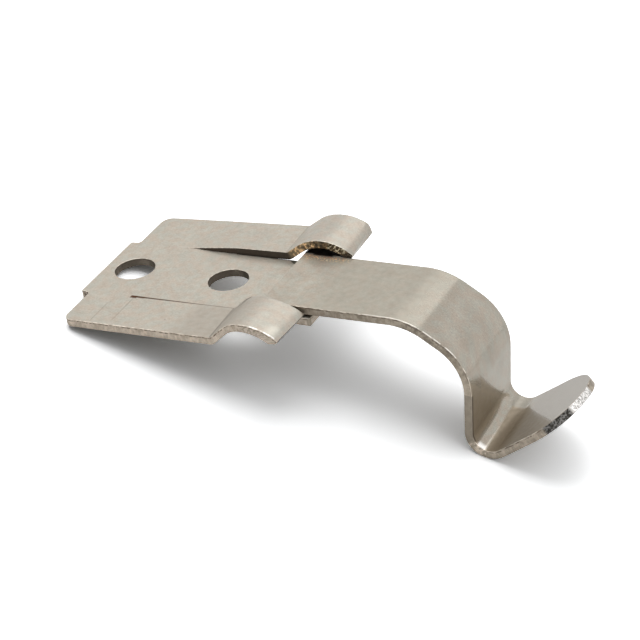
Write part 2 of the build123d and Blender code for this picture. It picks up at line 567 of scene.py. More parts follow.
@dataclass
class SpringTongue:
    """The bent leaf: root ears, flat, shoulder, slope, knee, leg, toe and the round-ended lip."""

    sheet: float = 1.0
    width: float = 11.54
    offset: float = 0.15
    bottom: float = 1.24
    root: float = 13.95
    flat_length: float = 16.0
    shoulder: Bend = Bend("Shoulder", 7.4, -34.3)
    slope_length: float = 2.1
    knee: Bend = Bend("Knee", 6.1, -61.7)
    leg_length: float = 5.0
    toe: Bend = Bend("Toe", 1.9, 129.3)
    lip_length: float = 10.8
    lip_curl: float = 2.8
    near_ear_setback: float = 0.4
    near_ear_length: float = 1.7
    far_ear_length: float = 4.65
    ear_reach: float = 10.0
    ear_ease: float = 0.3
    yaw: float = -0.22
    ear_shoulder: float = 0.18
    ear_slant: float = 0.2
    ear_fillet: float = 0.3
    root_corner: float = 0.2
    setback_corner: float = 0.1
    row_step: float = 0.9
    bend_step: float = 3.0
    least_bend_rows: int = 12

    def bends(self) -> list[tuple[Bend, float]]:
        """Give each bend with the place along the flat blank where it starts.

        Returns:
            The bends in order from the root.
        """
        curl = Bend("Curl", self.lip_length / math.radians(self.lip_curl), self.lip_curl)
        runs = [(self.flat_length, self.shoulder), (self.slope_length, self.knee)]
        runs += [(self.leg_length, self.toe), (0.0, curl)]
        placed = []
        along = 0.0
        for run, bend in runs:
            along += run
            placed.append((bend, along))
            along += bend.lower_length(self.sheet)
        return placed

    def tip(self) -> float:
        """Where the flat blank ends."""
        curl, start = self.bends()[-1]
        return start + curl.lower_length(self.sheet)

    def blank(self) -> Blank:
        """Lay out the flat blank, with more rows where it bends.

        Returns:
            The blank.
        """
        half = self.width / 2
        placed = self.bends()
        tip = self.tip()
        stations = [0.0]
        for bend, start in placed:
            gap = start - stations[-1]
            if gap > 0:
                count = math.ceil(gap / self.row_step) + 1
                stations += list(np.linspace(stations[-1], start, count)[1:])
            steps = max(self.least_bend_rows, math.ceil(abs(bend.angle) / self.bend_step))
            length = bend.lower_length(self.sheet)
            stations += list(np.linspace(start, start + length, steps + 1)[1:])
        ear_left = self.near_ear_setback
        ear_right = ear_left + self.near_ear_length
        side = half + self.ear_shoulder
        fillet = self.ear_fillet
        corners = [
            (0.0, -side, self.root_corner),
            (ear_left, -side - self.ear_slant, self.setback_corner),
            (ear_left, -self.ear_reach, fillet),
            (ear_right, -self.ear_reach, fillet),
            (ear_right, -half, fillet),
            (tip, -half, half),
            (tip, half, half),
            (self.far_ear_length, half, fillet),
            (self.far_ear_length, self.ear_reach, fillet),
            (0.0, self.ear_reach, fillet),
        ]
        rows = np.array(stations[1:-1])
        columns = np.linspace(-half + COLUMN_MARGIN, half - COLUMN_MARGIN, MIDDLE_COLUMNS)
        return Blank([rounded_outline(corners, rows, columns)], rows, columns, self.sheet)

    def ease_ears(self, points: np.ndarray) -> None:
        """Round over the right top edge of both ears, where the hooks come down on them.

        Args:
            points: The flat blank's points, which are changed in place.
        """
        half = self.width / 2
        near_right = self.near_ear_setback + self.near_ear_length
        for side, right in ((-1, near_right), (1, self.far_ear_length)):
            past = np.clip((points[:, 0] - right) / self.ear_ease + 1, 0, 1)
            past[points[:, 1] * side < half + self.ear_ease] = 0
            points[:, 2] -= self.ear_ease * (1 - np.sqrt(1 - past**2)) * points[:, 2] / self.sheet

    def fold_tree(self) -> bpy.types.NodeTree:
        """Build the geometry node tree that folds the blank, from the lip back to the root.

        Returns:
            The node tree.
        """
        group = bpy.data.node_groups.new("fold_tongue", "GeometryNodeTree")
        face = group.interface
        face.new_socket(name="Blank", in_out="INPUT", socket_type="NodeSocketGeometry")
        for bend, start in self.bends():
            sizes = {"Start": start * MM, "Length": bend.lower_length(self.sheet) * MM}
            sizes["Angle"] = math.radians(bend.angle)
            for size, value in sizes.items():
                name = f"{bend.name} {size}"
                socket = face.new_socket(name=name, in_out="INPUT", socket_type="NodeSocketFloat")
                socket.default_value = value
        face.new_socket(name="Finish", in_out="INPUT", socket_type="NodeSocketMaterial")
        face.new_socket(name="Tongue", in_out="OUTPUT", socket_type="NodeSocketGeometry")
        tree = Tree(group)
        given = tree.add("NodeGroupInput").outputs
        flat = tree.add("GeometryNodeInputNamedAttribute", {"Name": "flat"}, data_type="FLOAT_VECTOR")
        along = tree.add("ShaderNodeSeparateXYZ", {0: flat.outputs[0]}).outputs[0]
        sheet = given["Blank"]
        for bend, _ in reversed(self.bends()):
            values = {"Sheet": sheet, "Along": along}
            for size in ("Start", "Length", "Angle"):
                values[size] = given[f"{bend.name} {size}"]
            fold = tree.add("GeometryNodeGroup", values, node_tree=FoldRule().group())
            sheet = fold.outputs["Sheet"]
        real = tree.add("GeometryNodeRealizeInstances", {"Geometry": sheet}).outputs[0]
        dressing = {"Geometry": real, "Material": given["Finish"]}
        dressed = tree.add("GeometryNodeSetMaterial", dressing).outputs[0]
        tree.add("NodeGroupOutput", {"Tongue": dressed})
        return group

    def build(self, finish: bpy.types.Material) -> bpy.types.Object:
        """Fold the blank and turn the result into a plain mesh in its place.

        Args:
            finish: The tongue's material.

        Returns:
            The finished piece.
        """
        flat = self.blank().build()
        points = flat.places.copy()
        points[:, 2] = self.sheet - points[:, 2]
        self.ease_ears(points)
        draft = write_mesh("tongue_blank", flat, points)
        group = self.fold_tree()
        modifier = draft.modifiers.new("fold", "NODES")
        modifier.node_group = group
        for item in group.interface.items_tree:
            if item.in_out == "INPUT" and item.name == "Finish":
                modifier[item.identifier] = finish
        graph = bpy.context.evaluated_depsgraph_get()
        mesh = bpy.data.meshes.new_from_object(draft.evaluated_get(graph))
        turned = Matrix.Rotation(math.radians(self.yaw), 4, "Z")
        mesh.transform(Matrix.Translation(Vector((self.root, self.offset, self.bottom)) * MM) @ turned)
        smooth_below(mesh)
        mesh.name = "tongue_leaf"
        bpy.data.objects.remove(draft)
        return place_object("tongue_leaf", mesh)


@dataclass
class HookEdge:
    """Side view of a hook along the inner or the outer edge of its tab.

    The top face rises from a crease, goes over an arc to the crown, and drops along a wider arc to the brow.
    The end then leans in or out to the heel, which is the lowest corner of the hook's end.
    """

    crease: Point
    crown_level: float
    rise_angle: float
    rise_radius: float
    drop_radius: float
    under_radius: float
    rise_sheet: float
    brow_reach: float
    brow_round: float
    heel: Point
    under_reach: float
    sheet: float = 1.0
    crease_radius: float = 0.15
    crease_length: float = 0.3
    brow_stretch: float = 1.6
    under_shares: tuple[float, ...] = (0.0, 0.86, 0.94, 1.0)

    def __post_init__(self) -> None:
        """Work out the crown, the brow and the turns of both long arcs."""
        rise = math.radians(self.rise_angle)
        self.arc_level = self.crown_level - self.rise_radius * (1 - math.cos(rise))
        self.arc_x = self.crease[0] + (self.arc_level - self.crease[1]) / math.tan(rise)
        self.crown_x = self.arc_x + self.rise_radius * math.sin(rise)
        self.brow_turn = math.asin((self.brow_reach - self.crown_x) / self.drop_radius)
        self.under_turn = math.asin((self.under_reach - self.crown_x) / self.under_radius)
        self.lead = self.crease_radius * math.tan(rise / 2)

    def lengths(self) -> list[float]:
        """Measure each stretch of the top face.

        Returns:
            The lengths, from the crease to the foot.
        """
        rise = math.radians(self.rise_angle)
        slope = (self.arc_level - self.crease[1]) / math.sin(rise) - self.lead
        drop = self.drop_radius * self.brow_turn - self.brow_round
        brow = self.on_drop(np.array([self.brow_turn]))[0]
        end = float(np.linalg.norm(np.array(self.heel) - brow)) - self.brow_round
        turned = self.brow_stretch * self.brow_round
        return [self.crease_length, slope, self.rise_radius * rise, drop, turned, end]

    def on_drop(self, turn: np.ndarray) -> np.ndarray:
        """Points of the wide arc of the top face, at angles past the crown."""
        spread = np.column_stack([np.sin(turn), np.cos(turn) - 1])
        return np.array([self.crown_x, self.crown_level]) + self.drop_radius * spread

    def on_under(self, turn: np.ndarray) -> np.ndarray:
        """Points of the wide arc of the bottom face, at angles past the crown."""
        spread = np.column_stack([np.sin(turn), np.cos(turn) - 1])
        return np.array([self.crown_x, self.crown_level - self.sheet]) + self.under_radius * spread

    def climb(self, stretch: int, share: np.ndarray) -> tuple[np.ndarray, np.ndarray]:
        """Top and bottom points of the crease, the straight rise and the arc up to the crown.

        Args:
            stretch: 0 for the crease, 1 for the rise and 2 for the arc.
            share: How far along the stretch each point lies, from 0 to 1.

        Returns:
            Along and level of the top points, and of the bottom points under them.
        """
        rise = math.radians(self.rise_angle)
        thin = self.rise_sheet - self.sheet
        if stretch == 0:
            turn = rise * share
            inward = np.column_stack([np.sin(turn), -np.cos(turn)])
            centre = np.array([self.crease[0] - self.lead, self.crease[1] + self.crease_radius])
            depth = (self.crease_radius + self.sheet + thin * share)[:, None]
            return centre + self.crease_radius * inward, centre + depth * inward
        if stretch == 1:
            inward = np.array([math.sin(rise), -math.cos(rise)])
            start = np.array(self.crease) + self.lead * np.array([math.cos(rise), math.sin(rise)])
            top = start + share[:, None] * (np.array([self.arc_x, self.arc_level]) - start)
            return top, top + self.rise_sheet * inward
        turn = rise * (1 - share)
        outward = np.column_stack([-np.sin(turn), np.cos(turn)])
        centre = np.array([self.crown_x, self.crown_level - self.rise_radius])
        depth = (self.rise_radius - self.rise_sheet + thin * share)[:, None]
        return centre + self.rise_radius * outward, centre + depth * outward

    def points(self, stretch: int, share: np.ndarray) -> tuple[np.ndarray, np.ndarray]:
        """Top and bottom points of one stretch of the hook.

        Args:
            stretch: Which stretch it is, from the crease at 0 to the foot at 5.
            share: How far along the stretch each point lies, from 0 to 1.

        Returns:
            Along and level of the top points, and of the bottom points under them.
        """
        if stretch < 3:
            return self.climb(stretch, share)
        drop_turn = self.brow_turn - self.brow_round / self.drop_radius
        start, stop = self.under_shares[stretch - 3 : stretch - 1]
        under = self.on_under(self.under_turn * (start + (stop - start) * share))
        if stretch == 3:
            return self.on_drop(drop_turn * share), under
        brow = self.on_drop(np.array([self.brow_turn]))[0]
        heel = np.array(self.heel)
        turned = brow + (heel - brow) * self.brow_round / np.linalg.norm(heel - brow)
        along = share[:, None]
        if stretch == 4:
            first = self.on_drop(np.array([drop_turn]))[0]
            top = first * (1 - along) ** 2 + brow * 2 * along * (1 - along) + turned * along**2
            return top, under
        return turned + (heel - turned) * along, under


@dataclass
class HookedTab:
    """One side tab of the plate: how it lifts beside its slit, and the hook that it ends in."""

    side: Side
    joggle: float
    joggle_power: float
    lift_from: float
    lift_power: float
    inner_edge: HookEdge
    outer_edge: HookEdge
    inner: float = 6.0
    outer: float = 12.5
    slit_start: float = -3.5
    joggle_delay: float = 1.4
    joggle_run: float = 6.7
    sheet: float = 1.0
    hook_rows: tuple[int, ...] = (4, 3, 10, 14, 5, 3)

    def __post_init__(self) -> None:
        """Work out where each stretch of the hook starts on the flat blank."""
        pair = (self.inner_edge, self.outer_edge)
        self.crease_start = sum(edge.crease[0] - edge.lead for edge in pair) / 2
        lengths = np.mean([edge.lengths() for edge in pair], axis=0)
        self.knots = self.crease_start + np.concatenate([[0.0], np.cumsum(lengths)])

    @property
    def end(self) -> float:
        """Where the flat blank of this tab ends."""
        return float(self.knots[-1])

    def stations(self) -> list[float]:
        """Give the rows that the hook's arcs need.

        Returns:
            Places along the blank, from the crease to the foot's end.
        """
        rows: list[float] = []
        for first, second, count in zip(self.knots, self.knots[1:], self.hook_rows):
            rows += list(np.linspace(first, second, count + 1)[:-1])
        return rows

    def blade_lift(self, along: np.ndarray, across_share: np.ndarray) -> np.ndarray:
        """Height of the flat part of the tab above the plate.

        Args:
            along: Places along the blank.
            across_share: 0 at the inner edge of the tab and 1 at its outer edge.

        Returns:
            The lift at each place.
        """
        step_start = self.slit_start + self.joggle_delay
        step = np.clip((along - step_start) / self.joggle_run, 0, 1) ** self.joggle_power
        crease_x, crease_level = self.inner_edge.crease
        beyond = crease_x - step_start - self.joggle_run
        past = np.clip((along - step_start - self.joggle_run) / beyond, 0, 1)
        inner = self.joggle * step + (crease_level - self.sheet - self.joggle) * past
        crease_x, crease_level = self.outer_edge.crease
        outer = np.clip((along - self.lift_from) / (crease_x - self.lift_from), 0, 1) ** self.lift_power
        return inner * (1 - across_share) + outer * (crease_level - self.sheet) * across_share

    def bend(self, places: np.ndarray) -> np.ndarray:
        """Bend a part of the flat blank into this tab.

        Args:
            places: Along, across and depth of each point of the tab.

        Returns:
            Each point's place on the finished plate.
        """
        along = places[:, 0]
        depth = places[:, 2]
        outward = np.clip((np.abs(places[:, 1]) - self.inner) / (self.outer - self.inner), 0, 1)
        points = places.copy()
        points[:, 2] = self.sheet + self.blade_lift(along, outward) - depth
        starts = (self.inner_edge, self.outer_edge)
        crease_shift = [edge.crease[0] - edge.lead - self.crease_start for edge in starts]
        shift = crease_shift[0] * (1 - outward) + crease_shift[1] * outward
        nearing = np.clip((along - self.slit_start) / (self.crease_start - self.slit_start), 0, 1)
        points[:, 0] += shift * nearing
        last = len(self.hook_rows) - 1
        stretch = np.clip(np.searchsorted(self.knots, along, side="right") - 1, -1, last)
        for index in range(last + 1):
            chosen = stretch == index
            if not chosen.any():
                continue
            span = self.knots[index + 1] - self.knots[index]
            share = np.clip((along[chosen] - self.knots[index]) / span, 0, 1)
            mix = (depth[chosen] / self.sheet)[:, None]
            levels = []
            for edge in starts:
                top, bottom = edge.points(index, share)
                levels.append(top * (1 - mix) + bottom * mix)
            across = outward[chosen][:, None]
            level = levels[0] * (1 - across) + levels[1] * across
            points[chosen, 0] = level[:, 0]
            points[chosen, 2] = level[:, 1]
        return points


def near_tab() -> HookedTab:
    """Give the near tab, which starts flat and ends in the lower hook.

    Returns:
        The tab.
    """
    inner = HookEdge(
        crease=(10.6, 1.16),
        crown_level=3.27,
        rise_angle=40.0,
        rise_radius=3.9,
        drop_radius=8.9,
        under_radius=6.4,
        rise_sheet=0.9,
        brow_reach=19.85,
        brow_round=0.06,
        heel=(19.3, 1.1),
        under_reach=18.6,
    )
    outer = replace(
        inner,
        crease=(10.78, 1.08),
        crown_level=3.33,
        drop_radius=7.92,
        under_radius=5.8,
        rise_sheet=0.89,
        brow_reach=19.72,
        brow_round=0.1,
        heel=(19.15, 1.22),
        under_reach=18.33,
    )
    return HookedTab(
        Side.NEAR,
        joggle=0.09,
        joggle_power=1.0,
        lift_from=-3.5,
        lift_power=1.0,
        inner_edge=inner,
        outer_edge=outer,
    )


def far_tab() -> HookedTab:
    """Give the far tab, which lifts along its whole length and ends in the taller hook.

    Returns:
        The tab.
    """
    inner = HookEdge(
        crease=(11.5, 1.97),
        crown_level=4.05,
        rise_angle=35.0,
        rise_radius=5.75,
        drop_radius=6.3,
        under_radius=5.06,
        rise_sheet=1.0,
        brow_reach=20.39,
        brow_round=0.08,
        heel=(19.76, 1.64),
        under_reach=19.6,
    )
    outer = replace(
        inner,
        crease=(11.35, 2.07),
        crown_level=4.165,
        drop_radius=6.5,
        brow_reach=19.6,
        brow_round=0.45,
        heel=(19.86, 2.0),
        under_reach=19.4,
    )
    return HookedTab(
        Side.FAR,
        joggle=0.8,
        joggle_power=0.85,
        lift_from=-9.25,
        lift_power=0.92,
        inner_edge=inner,
        outer_edge=outer,
    )


@dataclass
class BasePlate:
    """The stamped plate: stub, uncut part, middle strip, two hooked tabs and two rivet holes."""

    sheet: float = 1.0
    width: float = 25.0
    left: float = -9.25
    slit_start: float = -3.5
    strip_half: float = 5.97
    tab_inner: float = 6.0
    strip_reach: float = 20.3
    strip_droop: float = 0.08
    pull_lift: float = 0.08
    stub_length: float = 1.2
    stub_near: float = 6.2
    stub_far: float = 5.9
    notch_radius: float = 0.5
    near_corner: float = 1.1
    far_corner: float = 1.3
    hole_radius: float = 2.5
    hole_spacing: float = 13.0
    hole_steps: int = 72
    corner: float = 0.2
    row_step: float = 0.8
    first_row: float = 0.6
    last_row: float = 0.3
    least_row_gap: float = 0.03
    side_columns: int = 8
    pull_start: float = 2.5
    pull_run: float = 3.0
    pull_width: float = 2.5
    near: HookedTab = field(default_factory=near_tab)
    far: HookedTab = field(default_factory=far_tab)

    def blank(self) -> Blank:
        """Lay out the flat blank.

        Returns:
            The blank, with its slits and holes.
        """
        outer = self.width / 2
        strip = self.strip_half
        inner = self.tab_inner
        stub = self.left - self.stub_length
        corners = [
            (self.left, -outer, self.near_corner),
            (self.near.end, -outer, self.corner),
            (self.near.end, -inner, self.corner),
            (self.slit_start, -inner, 0.0),
            (self.slit_start, -strip, 0.0),
            (self.strip_reach, -strip, self.corner),
            (self.strip_reach, strip, self.corner),
            (self.slit_start, strip, 0.0),
            (self.slit_start, inner, 0.0),
            (self.far.end, inner, self.corner),
            (self.far.end, outer, self.corner),
            (self.left, outer, self.far_corner),
            (self.left, self.stub_far, self.notch_radius),
            (stub, self.stub_far, self.corner),
            (stub, -self.stub_near, self.corner),
            (self.left, -self.stub_near, self.notch_radius),
        ]
        even = np.arange(stub + self.first_row, self.near.crease_start - self.last_row, self.row_step)
        rows = np.concatenate([even, self.near.stations(), self.far.stations()])
        rows = np.unique(np.round(rows, decimals=4))
        rows = rows[np.concatenate([[True], np.diff(rows) > self.least_row_gap])]
        side = np.linspace(inner + COLUMN_MARGIN, outer - COLUMN_MARGIN, self.side_columns)
        middle = np.linspace(-strip + COLUMN_MARGIN, strip - COLUMN_MARGIN, MIDDLE_COLUMNS)
        columns = np.concatenate([-side[::-1], middle, side])
        outlines = [rounded_outline(corners, rows, columns)]
        for place in (-self.hole_spacing / 2, self.hole_spacing / 2):
            outlines.append(round_hole((place, 0.0), self.hole_radius, self.hole_steps))
        return Blank(outlines, rows, columns, self.sheet)

    def shape_strip(self, points: np.ndarray) -> None:
        """Let the strip's end droop a little, and pull its far edge up where the far slit starts.

        Args:
            points: The plate's points, which are changed in place.
        """
        past = np.clip((points[:, 0] - self.hole_spacing) / (self.strip_reach - self.hole_spacing), 0, 1)
        points[:, 2] -= self.strip_droop * past**2
        away = np.abs(points[:, 0] - self.slit_start - self.pull_start)
        along = np.clip(1 - away / self.pull_run, 0, 1)
        across = np.clip((points[:, 1] - self.strip_half) / self.pull_width + 1, 0, 1)
        points[:, 2] += self.pull_lift * along**2 * across**2

    def build(self, finish: bpy.types.Material) -> bpy.types.Object:
        """Bend both tabs of the blank and write the plate's mesh.

        Args:
            finish: The plate's material.

        Returns:
            The finished piece.
        """
        flat = self.blank().build()
        points = flat.places.copy()
        points[:, 2] = self.sheet - points[:, 2]
        gap_middle = (self.strip_half + self.tab_inner) / 2
        self.shape_strip(points)
        for tab in (self.near, self.far):
            chosen = flat.places[:, 1] * tab.side.value > gap_middle
            points[chosen] = tab.bend(flat.places[chosen])
        piece = write_mesh("plate_sheet", flat, points)
        piece.data.materials.append(finish)
        return piece


# Finishes


@dataclass(frozen=True)
class Mottle:
    """Noise on the blank: its size in millimetres, its detail, how much it sways, and where it ramps."""

    size: float
    detail: float
    swing: float = 0.0
    ramp: Range = (0.3, 0.7)
    stretch: Triple = (1.0, 1.0, 1.0)


@dataclass(frozen=True)
class SheetNodes:
    """A material's nodes, with what they read of the flat blank and of its sheared and rolled edges."""

    tree: Tree
    flat: Socket
    along: Socket
    across: Socket
    depth: Socket
    sheared: Socket
    rolled: Socket

    def noise(self, mottle: Mottle) -> Socket:
        """Lay one mottle's noise on the blank.

        Args:
            mottle: The mottle.

        Returns:
            The noise, from 0 to 1.
        """
        scales = tuple(1 / (mottle.size * MM * part) for part in mottle.stretch)
        place = self.tree.vector("MULTIPLY", self.flat, scales)
        values = {"Vector": place, "Scale": 1.0, "Detail": mottle.detail}
        return self.tree.add("ShaderNodeTexNoise", values).outputs["Fac"]

    def spots(self, mottle: Mottle) -> Socket:
        """Rise from 0 to 1 over the mottle's ramp."""
        return self.tree.ramp(self.noise(mottle), *mottle.ramp)

    def shading(self, mottle: Mottle) -> Socket:
        """Sway about 1 with the mottle's noise."""
        sway = (1 - mottle.swing, 1 + mottle.swing)
        return self.tree.span(self.noise(mottle), *mottle.ramp, *sway)


@dataclass(frozen=True)
class Speckle:
    """How a stain breaks up into spots: their size, how rare and how soft they are, and their stretch."""

    size: float
    rare: float = 0.42
    soft: float = 0.18
    streaks: float = 1.0
    detail: float = 3.0

    def mottle(self) -> Mottle:
        """Give the noise whose peaks are the spots."""
        ramp = (self.rare, self.rare + self.soft)
        return Mottle(self.size, self.detail, ramp=ramp, stretch=(1.0, 1.0, self.streaks))


@dataclass(frozen=True)
class StainOrPaintedLight:
    """A discoloured patch, or a patch of painted light or shade, as a soft-edged box on the flat blank, on
    the faces or on the sheared edges.

    The lean is how much further along the box's start and its end move for each millimetre across.
    """

    along: Range
    across: Range
    colour: Colour
    strength: float = 1.0
    soft: float = 0.3
    place: Place = Place.RIMS
    speckle: Speckle | None = None
    lean: Range = (0.0, 0.0)
    dull: float = 0.0

    def share(self, sheet: SheetNodes) -> Socket:
        """Work out how strongly the stain covers each point.

        Args:
            sheet: The material's nodes.

        Returns:
            The share, from 0 to 1.
        """
        tree = sheet.tree
        soft = self.soft * MM
        leaning = [tree.math("MULTIPLY_ADD", sheet.across, -lean, sheet.along) for lean in self.lean]
        masks: list[float | Socket] = [self.strength]
        for places, limits in ((leaning, self.along), ([sheet.across] * 2, self.across)):
            start, stop = (limit * MM for limit in limits)
            masks.append(tree.ramp(places[0], start - soft, start + soft))
            masks.append(tree.ramp(places[1], stop + soft, stop - soft))
        if self.place is Place.RIMS:
            masks.append(sheet.sheared)
        elif self.place is Place.FACES:
            masks.append(tree.math("SUBTRACT", 1.0, sheet.sheared))
        if self.speckle is not None:
            masks.append(sheet.spots(self.speckle.mottle()))
        return tree.product(*masks)


@dataclass(frozen=True)
class ScoreLine:
    """A thin dark line that a forming tool left, from one side of the blank toward the other."""

    along: float
    across: Range
    width: float
    strength: float
    fade: float = 0.4
    colour: Colour = (0.16, 0.14, 0.115)

    def share(self, sheet: SheetNodes) -> Socket:
        """Work out how strongly the line covers each point.

        Args:
            sheet: The material's nodes.

        Returns:
            The share, from 0 to 1.
        """
        tree = sheet.tree
        away = tree.math("ABSOLUTE", tree.math("SUBTRACT", sheet.along, self.along * MM))
        low, high = self.across
        starts = tree.ramp(sheet.across, (low - self.fade) * MM, (low + self.fade) * MM)
        ends = tree.ramp(sheet.across, (high + self.fade) * MM, (high - self.fade) * MM)
        return tree.product(tree.ramp(away, self.width * MM, 0.0), self.strength, starts, ends)


@dataclass(frozen=True)
class Rim:
    """How a sheared edge looks: its light and dark parts, a painted dark reflection in a line under its burr,
    and a painted highlight on the burr.
    """

    light: Colour = (0.70, 0.615, 0.52)
    dark: Colour = (0.41, 0.35, 0.28)
    streak: Mottle = Mottle(0.2, 3.0, 0.42, stretch=(1.0, 1.0, 3.0))
    blotch: Mottle = Mottle(0.7, 4.0, 0.72)
    ramp: Range = (0.36, 0.8)
    # Colour of the painted dark reflection in a line under the burr.
    under_burr_reflection: Colour = (0.13, 0.10, 0.075)
    line_start: Range = (0.04, 0.07)
    line_end: Range = (0.2, 0.12)
    line_wander: Mottle = Mottle(0.7, 2.0, 0.12)
    line_breaks: Mottle = Mottle(0.5, 2.0, ramp=(0.4, 0.55), stretch=(1.0, 1.0, 9.0))
    # Colour of the painted highlight along the burr.
    burr_highlight: Colour = (0.85, 0.78, 0.68)
    burr_breaks: Mottle = Mottle(0.6, 3.0, ramp=(0.42, 0.58))
    burr_share: Range = (0.1, 0.45)
    burr_depth: Range = (0.09, 0.05)
    sheared_share: Range = (0.7, 0.97)

    def colour(self, sheet: SheetNodes) -> Socket:
        """Colour the sheared edges: streaks down the cut, blotches, and a painted dark reflection in a line
        under the burr.

        Args:
            sheet: The material's nodes.

        Returns:
            The colour.
        """
        tree = sheet.tree
        parts = [tree.product(sheet.noise(part), part.swing) for part in (self.streak, self.blotch)]
        share = tree.ramp(tree.math("ADD", *parts), *self.ramp)
        colour = tree.blend(share, (*self.dark, 1.0), (*self.light, 1.0))
        wander = sheet.noise(self.line_wander)
        wander = tree.span(wander, *self.line_wander.ramp, 0.0, self.line_wander.swing * MM)
        level = tree.math("SUBTRACT", sheet.depth, wander)
        masks = [tree.ramp(level, *(end * MM for end in ends)) for ends in (self.line_start, self.line_end)]
        # Painted dark reflection in a broken line just under the rim's top round.
        line = tree.product(*masks, sheet.spots(self.line_breaks))
        return tree.blend(line, colour, (*self.under_burr_reflection, 1.0))


@dataclass(frozen=True)
class Relief:
    """The fine relief of the plating: grain, shallow dents, streaks down the cut, and uneven roughness."""

    grain: Mottle = Mottle(0.16, 3.0, 0.35)
    dents: Mottle = Mottle(1.4, 2.0)
    streak: Mottle = Mottle(0.14, 3.0, 2.0, stretch=(1.0, 1.0, 5.0))
    strength: float = 0.5
    distance: float = 0.00001
    uneven: Mottle = Mottle(0.8, 3.0)
    uneven_span: Range = (0.85, 1.2)

    def bump(self, sheet: SheetNodes) -> Socket:
        """Tilt the surface by its relief.

        Args:
            sheet: The material's nodes.

        Returns:
            The surface's direction.
        """
        tree = sheet.tree
        grain = tree.product(sheet.noise(self.grain), self.grain.swing)
        streak = tree.product(sheet.noise(self.streak), sheet.sheared, self.streak.swing)
        height = tree.math("ADD", tree.math("ADD", grain, sheet.noise(self.dents)), streak)
        values = {"Height": height, "Strength": self.strength, "Distance": self.distance}
        return tree.add("ShaderNodeBump", values).outputs[0]

    def unevenness(self, sheet: SheetNodes) -> Socket:
        """Give what the roughness is multiplied by at each point."""
        return sheet.tree.span(sheet.noise(self.uneven), *self.uneven.ramp, *self.uneven_span)


